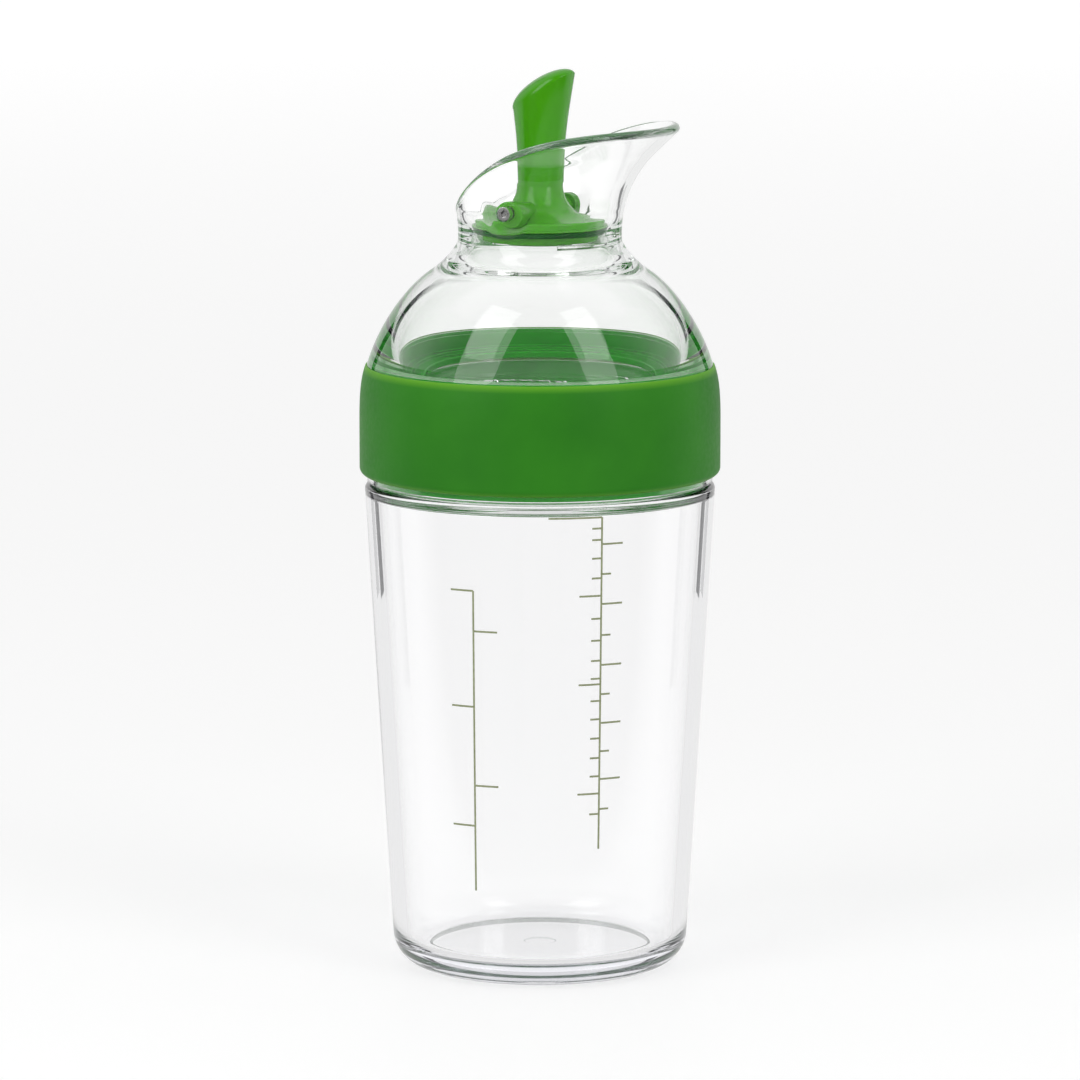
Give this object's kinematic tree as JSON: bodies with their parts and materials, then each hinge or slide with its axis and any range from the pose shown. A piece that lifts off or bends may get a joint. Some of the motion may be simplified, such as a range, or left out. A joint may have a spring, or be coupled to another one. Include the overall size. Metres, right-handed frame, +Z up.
{
  "type": "salad dressing shaker bottle",
  "caption": "Clear tapered shaker bottle with graduation lines, a screw-on domed pouring lid with a green grip band, and a tilting stopper lever that opens the flared spout.",
  "frame": {"origin": "middle of the foot ring, on the surface the bottle stands on", "axes": "+Z up along the bottle's axis, +X towards the spout's lip, Y along the stopper's hinge pin"},
  "size_m": [0.082, 0.082, 0.2052],
  "materials": {
    "clear_plastic": "clear, polished",
    "pale_silicone": "translucent satin",
    "green_plastic": "satin",
    "soft_band": "soft matte",
    "steel": "bright",
    "bright_plastic": "soft gloss",
    "dark_seal": "satin"
  },
  "bodies": {
    "bottle": {"bottle_body": "clear_plastic"},
    "seal_ring": {"lid_gasket": "pale_silicone"},
    "lid": {"lid_collar": "green_plastic", "grip_band": "soft_band", "pour_dome": "clear_plastic", "hinge_pin": "steel"},
    "stopper": {"stopper_lever": "bright_plastic", "stopper_gasket": "dark_seal", "stopper_plug": "bright_plastic"}
  },
  "joints": [
    {"name": "lid_rise", "type": "slide", "parent": "bottle", "child": "seal_ring", "axis": [0, 0, 1], "range_m": [0, 0.0151]},
    {"name": "lid_turn", "type": "hinge", "parent": "seal_ring", "child": "lid", "pos_m": [0, 0, 0.119], "axis": [0, 0, 1], "range_deg": [0, 540]},
    {"name": "stopper_tilt", "type": "hinge", "parent": "lid", "child": "stopper", "pos_m": [0, 0, 0.17385], "axis": [0, -1, 0], "range_deg": [0, 62]}
  ],
  "couplings": [
    {"joint": "lid_rise", "follows": "lid_turn", "m_per_rad": 0.0015915}
  ]
}
